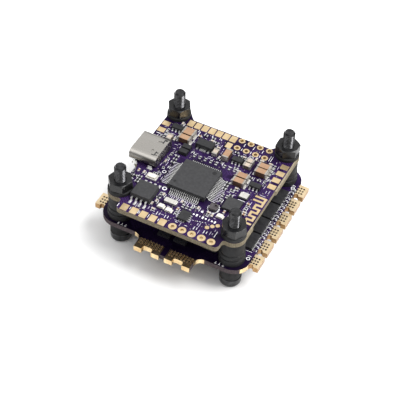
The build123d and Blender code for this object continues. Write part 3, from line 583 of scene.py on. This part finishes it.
for x in (6.0, 6.6, 7.2, 7.9):
    strips.append((x, -15.9 + 0.25 * (x - 6), 0.3, 0.13))
for i in range(9):
    strips.append((3.4 + 0.8 * i, -14.25, 0.42 if i % 3 else 0.15, 0.42 if i % 2 else 0.75))
marks = bmesh.new()
for x, y, width, depth in strips:
    if is_free(x - width / 2, y - depth / 2, x + width / 2, y + depth / 2):
        block(marks, (x, y, FC_TOP + INK / 2), (width, depth, INK))
        mark(x - width / 2, y - depth / 2, x + width / 2, y + depth / 2, 0.03)
for x, y, outer, inner in ((-5.9, -10.1, 0.62, 0.34), (-8.7, -5.1, 0.5, 0.36), (5.6, -12.6, 0.3, 0.0)):
    ring(marks, (x, y, FC_TOP), outer, max(inner, 0.02), INK)
    mark(x - outer, y - outer, x + outer, y + outer)
ring(marks, (PRESSURE_X, PRESSURE_Y, FC_TOP), 1.5, 1.38, INK, 32)
mark(6.0, -11.9, 9.0, -8.9)
finish_piece(marks, "upper_silkscreen", "ink")

dimples = bmesh.new()
mcu_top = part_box("mcu_body")[1][2] / MM
for x, y, radius in ((-4.3, -7.9, 0.34), (3.0, -0.95, 0.54)):
    ring(dimples, (x, y, mcu_top), radius, 0.01, 0.012, 24)
finish_piece(dimples, "mould_dimples", "rubber")

# ---------------------------------------------------------------- solder lands round the processor
lands = bmesh.new()
for side in range(4):
    turn = Matrix.Rotation(math.radians(90 * side), 4, "Z")
    for i in range(LEADS_PER_SIDE):
        spot = turn @ Vector((6.0, LEAD_PITCH * (i - (LEADS_PER_SIDE - 1) / 2), 0))
        place = (spot.x + MCU_X, spot.y + MCU_Y, FC_TOP + 0.01)
        block(lands, place, (1.15, 0.18, 0.03), 90 * side)
for x in (-1.905, -0.635, 0.635, 1.905):
    for y in (-4.0, 4.0):
        block(lands, (MEMORY_X + x, MEMORY_Y + y * 0.93, FC_TOP + 0.01), (0.62, 1.3, 0.03))
for x in (-1.45, 1.45):
    for y in (-0.9, -0.3, 0.3, 0.9):
        block(lands, (MOTION_X + x, MOTION_Y + y, FC_TOP + 0.1), (0.45, 0.3, 0.2))
for y in (-1.65, 1.65):
    for x in (-0.6, 0.0, 0.6):
        block(lands, (MOTION_X + x, MOTION_Y + y, FC_TOP + 0.1), (0.3, 0.4, 0.2))
for x, y in ((-9.35, 9.4), (-9.35, 6.9), (12.65, 5.35), (12.65, 7.25), (9.25, -0.25), (9.25, 1.75)):
    for side in (-1, 1):
        block(lands, (x + side * 1.75, y, FC_TOP + 0.05), (0.5, 1.7, 0.1))
finish_piece(lands, "solder_lands", "tin")
fan = bmesh.new()
for i in range(LEADS_PER_SIDE):
    y = MCU_Y + LEAD_PITCH * (i - (LEADS_PER_SIDE - 1) / 2)
    far = 0.8 + 0.7 * ((i * 5) % 7) / 7
    block(fan, (6.15 + far / 2, y, FC_TOP + INK / 2), (far, 0.13, INK))
    block(fan, (-7.05 - far / 3, y, FC_TOP + INK / 2), (far / 1.5, 0.13, INK))
for i in range(LEADS_PER_SIDE - 1):
    x = MCU_X + LEAD_PITCH * (i - 7)
    block(fan, (x, -11.4 - 0.15 * (i % 4), FC_TOP + INK / 2), (0.12, 0.5 + 0.3 * (i % 4), INK))
finish_piece(fan, "fan_out_tracks", "pale_track")
# a near-black sheet under the processor's leads: painted shade between the leads and lands
lead_shade_patches = bmesh.new()
for side in (-1, 1):
    block(lead_shade_patches, (MCU_X + side * 6.5, MCU_Y, FC_TOP + 0.004), (2.6, 8.3, 0.004))
    block(lead_shade_patches, (MCU_X, MCU_Y + side * 6.0, FC_TOP + 0.004), (8.3, 1.8, 0.004))
finish_piece(lead_shade_patches, "painted_lead_shade", "painted_shade_sheet")
mark(6.1, -8.6, 7.6, -0.7)
mark(-8.0, -8.6, -7.0, -0.7)
mark(-7.1, -11.3, 6.2, 2.1)

# ---------------------------------------------------------------- details of the USB socket
# black marks on the shell's top stand for its slots: painted shade in the openings
slots = bmesh.new()
slot_height = FC_TOP + 3.205
for side in (-1, 1):
    y = USB_Y + side * 2.5
    block(slots, (-12.15, y, slot_height), (0.3, 1.3, 0.01))
    block(slots, (-11.75, y + 0.55, slot_height), (0.6, 0.3, 0.01))
    block(slots, (-12.6, y - 0.5, slot_height), (0.7, 0.26, 0.01))
finish_piece(slots, "shell_slots", "black_plastic")
legs = bmesh.new()
for x in (-16.6, -12.4):
    for side in (-1, 1):
        y = USB_Y + side * 4.62
        block(legs, (x, y, FC_TOP + 0.35), (1.1, 0.22, 0.7))
        block(legs, (x, y + side * 0.25, FC_TOP + 0.06), (1.5, 0.6, 0.12))
finish_piece(legs, "shell_legs", "tin", bevel=0.05)
mark(-17.6, -6.2, -10.9, 4.2)

# ---------------------------------------------------------------- scattered small parts
# each kind is a look and its length, width and height
kinds = (
    ("film", (1.0, 0.5, 0.34)), ("pale_cap", (1.0, 0.5, 0.5)),
    ("cap", (1.0, 0.5, 0.5)), ("film", (0.6, 0.32, 0.24)),
)
bodies = {"film": bmesh.new(), "pale_cap": bmesh.new(), "cap": bmesh.new()}
outlines = bmesh.new()
end_caps = bmesh.new()


def small_part(x, y, z, kind, upright, down=False):
    """A two-ended chip part standing on z, or hanging under it."""
    look, (length, width, height) = kinds[kind]
    turn = 90 if upright else 0
    sign = -1 if down else 1
    block(bodies[look], (x, y, z + sign * height / 2), (length * 0.56, width, height), turn)
    for side in (-1, 1):
        step = side * length * 0.38
        place = (x, y + step) if upright else (x + step, y)
        tall = height + 0.03
        block(end_caps, (*place, z + sign * tall / 2), (length * 0.24, width + 0.04, tall), turn)


def scatter(x0, y0, x1, y1, fill, step=(1.2, 0.72)):
    """Fills free ground with small parts, in short rows that share a direction."""
    y = y0
    while y < y1:
        upright = rng.random() < 0.45
        pitch = (step[1], step[0]) if upright else step
        x = x0 + rng.random() * 0.3
        while x < x1:
            kind = rng.choice((0, 0, 1, 1, 2, 3))
            length, width, _ = kinds[kind][1]
            half = (width / 2, length / 2) if upright else (length / 2, width / 2)
            box = (x - half[0] - 0.05, y - half[1] - 0.05, x + half[0] + 0.05, y + half[1] + 0.05)
            if rng.random() < fill and is_free(*box):
                small_part(x, y, FC_TOP, kind, upright)
                mark(*box)
                for side in (-1, 1):
                    if rng.random() < 0.7:
                        aside = side * (half[0] + 0.15 if upright else half[1] + 0.13)
                        centre = (x + aside, y) if upright else (x, y + aside)
                        size = (0.11, length + 0.2) if upright else (length + 0.2, 0.11)
                        block(outlines, (*centre, FC_TOP + INK / 2), (*size, INK))
            x += pitch[0]
        y += pitch[1]


# each zone is its two corners and the share of it that is filled
for zone in (
    (-6.4, 2.4, 5.0, 5.7, 0.95), (-10.8, -7.8, -7.1, 2.6, 0.92), (-14.4, -9.8, -7.2, -5.5, 0.95),
    (-5.8, -14.9, 4.8, -11.5, 0.92), (6.4, -9.6, 9.0, -1.0, 0.6), (8.2, -14.8, 15.4, -9.9, 0.8),
    (5.0, -0.2, 7.7, 5.6, 0.65), (10.8, 1.5, 15.7, 10.0, 0.9), (-6.8, 8.7, 8.6, 11.5, 0.4),
    (-15.6, 4.8, -10.7, 12.4, 0.9), (4.6, -13.8, 8.8, -11.7, 0.8), (-6.2, -17.6, 1.2, -14.8, 0.6),
    (9.3, -5.3, 15.2, -1.3, 0.75), (13.3, -10.4, 15.4, -4.7, 0.9), (-14.8, -13.2, -12.2, -9.7, 0.8),
    (-7.0, -11.6, -5.6, -8.6, 0.7), (5.6, 5.0, 10.6, 9.9, 0.5), (-6.2, 9.0, -0.6, 9.9, 0.6),
):
    scatter(*zone)

finish_piece(outlines, "part_outlines", "ink")

# ---------------------------------------------------------------- short tracks and vias


def free_spot(reach_x, reach_y):
    """A random free place on the upper board, clear of its corners, or None."""
    x = rng.uniform(-17.2, 17.0)
    y = rng.uniform(-19.0, 14.4)
    in_corner = abs(abs(x) - PITCH) < 3.4 and (y > 12.0 or y < -12.2)
    cut_corner = x < -12.5 and -14.0 < y < -4.5
    free = is_free(x - reach_x, y - reach_y, x + reach_x, y + reach_y)
    return (x, y) if free and not in_corner and not cut_corner else None


short_tracks = bmesh.new()
for _ in range(1100):
    long_half = rng.uniform(0.25, 0.75)
    half = (long_half, 0.05) if rng.random() < 0.5 else (0.05, long_half)
    spot = free_spot(half[0] + 0.08, half[1] + 0.08)
    if spot:
        x, y = spot
        block(short_tracks, (x, y, FC_TOP + INK / 2), (2 * half[0], 2 * half[1], INK))
        mark(x - half[0] - 0.1, y - half[1] - 0.1, x + half[0] + 0.1, y + half[1] + 0.1)
finish_piece(short_tracks, "short_tracks", "pale_track")
vias = bmesh.new()
for _ in range(1100):
    spot = free_spot(0.16, 0.16)
    if spot:
        x, y = spot
        ring(vias, (x, y, FC_TOP), 0.14, 0.06, 0.015, 10)
        mark(x - 0.2, y - 0.2, x + 0.2, y + 0.2)
finish_piece(vias, "via_rings", "dull_tin")

# ---------------------------------------------------------------- lower board marks and small parts
lower_marks = bmesh.new()
for side in (-1, 1):
    for i in range(21):
        y = -10.9 + 1.16 * i
        small_part(side * 19.15, y, ESC_TOP, 3, i % 3 == 0)
        block(lower_marks, (side * 18.62, y, ESC_TOP + INK / 2), (0.16, 0.85 if i % 4 else 0.3, INK))
        block(lower_marks, (side * 19.65, y + 0.2, ESC_TOP + INK / 2), (0.15, 0.6, INK))
        if i % 3:
            block(lower_marks, (side * 19.15, y + 0.56, ESC_TOP + INK / 2), (0.8, 0.14, INK))
for x in (-14.0, -13.0, -12.0, 12.6, 13.6, 14.6):
    block(lower_marks, (x, -18.9, ESC_TOP + INK / 2), (0.5, 0.16, INK))
    block(lower_marks, (x, -18.5, ESC_TOP + INK / 2), (0.16, 0.5, INK))
block(lower_marks, (18.0, -11.6, ESC_TOP + INK / 2), (1.8, 0.14, INK))
for x, y in ((18.7, 13.0), (18.9, -13.8)):
    ring(lower_marks, (x, y, ESC_TOP), 0.5, 0.32, INK)
    block(lower_marks, (x, y + 0.9, ESC_TOP + INK / 2), (0.9, 0.15, INK))
finish_piece(lower_marks, "lower_silkscreen", "ink")
# gold rings round the battery vias: real via rims, painted bright as a painted highlight
rims = bmesh.new()
rim_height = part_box("battery_pads")[1][2] / MM
for middle in BATTERY_PADS_X:
    for i in range(8):
        for j in range(3):
            place = (middle + 0.8 * (i - 3.5), BATTERY_VIA_Y + 0.72 * (j - 1), rim_height)
            ring(rims, place, 0.26, 0.2, 0.012, 14)
finish_piece(rims, "battery_via_rims", "rim_gold_glint")

for side in (-1, 1):
    for i in range(14):
        small_part(side * 12.6, -11.5 + 1.7 * i, ESC_TOP, i % 4, True)
for x in (-5.2, -3.9, -2.6, 2.6, 3.9, 5.2, 6.5):
    for y in (-13.3, -15.0, -16.6):
        small_part(x, y, ESC_BOTTOM, int(abs(x * 3 + y)) % 4, False, True)
for x in (-3.8, -1.3, 1.3, 3.8):
    for y in (-9.0, -5.5, -2.0, 1.5, 5.0, 8.5):
        small_part(x, y, ESC_BOTTOM, int(abs(x * 2 + y)) % 4, True, True)
for look, mesh in bodies.items():
    finish_piece(mesh, f"small_{look}_bodies", look, bevel=0.03)
finish_piece(end_caps, "small_part_ends", "tin", bevel=0.03)

# ---------------------------------------------------------------- floor, light and camera
floor_mat, floor_tree, floor_shader, floor_coords = graph("floor", 0.75)
floor_grain = noise(floor_tree, floor_coords, 30, 2.0)
floor_tone = ramp(floor_tree, floor_grain, (0.88, 0.88, 0.88), (0.9, 0.9, 0.9))
path = floor_tree.nodes.new("ShaderNodeLightPath")
# the floor is pale where it is seen, and bounces less light than that up into the stack
seen = maths(floor_tree, "MAXIMUM", path.outputs["Is Camera Ray"], path.outputs["Is Glossy Ray"])
floor_colour = mix(floor_tree, seen, (0.34, 0.335, 0.33), floor_tone)
floor_tree.links.new(floor_colour, floor_shader.inputs["Base Color"])
floor_mesh = bpy.data.meshes.new("floor")
reach = 3.0
corners = [(-reach, -reach, 0), (reach, -reach, 0), (reach, reach, 0), (-reach, reach, 0)]
floor_mesh.from_pydata(corners, [], [(0, 1, 2, 3)])
floor = bpy.data.objects.new("floor", floor_mesh)
bpy.context.scene.collection.objects.link(floor)
floor_mesh.materials.append(floor_mat)
floor.location.z = -0.00005


def area_light(name, place, size, power):
    """A square soft light aimed at the stack."""
    lamp = bpy.data.lights.new(name, "AREA")
    lamp.size = size
    lamp.energy = power
    light = bpy.data.objects.new(name, lamp)
    light.location = place
    aim = Vector((0, 0, 0.01)) - Vector(place)
    light.rotation_euler = aim.to_track_quat("-Z", "Y").to_euler()
    bpy.context.scene.collection.objects.link(light)


area_light("key", (0.40, 0.16, 0.72), 0.5, 8.5)
area_light("fill", (-0.5, -0.4, 0.7), 0.8, 1.4)

world = bpy.data.worlds.new("studio")
bpy.context.scene.world = world
world.use_nodes = True
sky = world.node_tree
direction = sky.nodes.new("ShaderNodeTexCoord").outputs["Generated"]
height = sky.nodes.new("ShaderNodeSeparateXYZ")
sky.links.new(direction, height.inputs["Vector"])
dome = ramp(sky, height.outputs["Z"], (0.16, 0.16, 0.165), (1.0, 1.0, 1.0), 0.1, 0.75)
sky.links.new(dome, sky.nodes["Background"].inputs["Color"])
sky.nodes["Background"].inputs["Strength"].default_value = 1.0

scene = bpy.context.scene
scene.view_settings.view_transform = "Standard"
lens = bpy.data.cameras.new("camera")
lens.lens = 106.8
lens.sensor_width = 36
camera = bpy.data.objects.new("camera", lens)
scene.collection.objects.link(camera)
right = Vector((0.88969, 0.45520, 0.03516))
up = Vector((-0.35110, 0.63293, 0.69003))
back = Vector((0.29186, -0.62626, 0.72293))
turn = Matrix((right, up, back)).transposed().to_4x4()
camera.matrix_world = Matrix.Translation(Vector((0.086646, -0.188091, 0.222974))) @ turn
scene.camera = camera
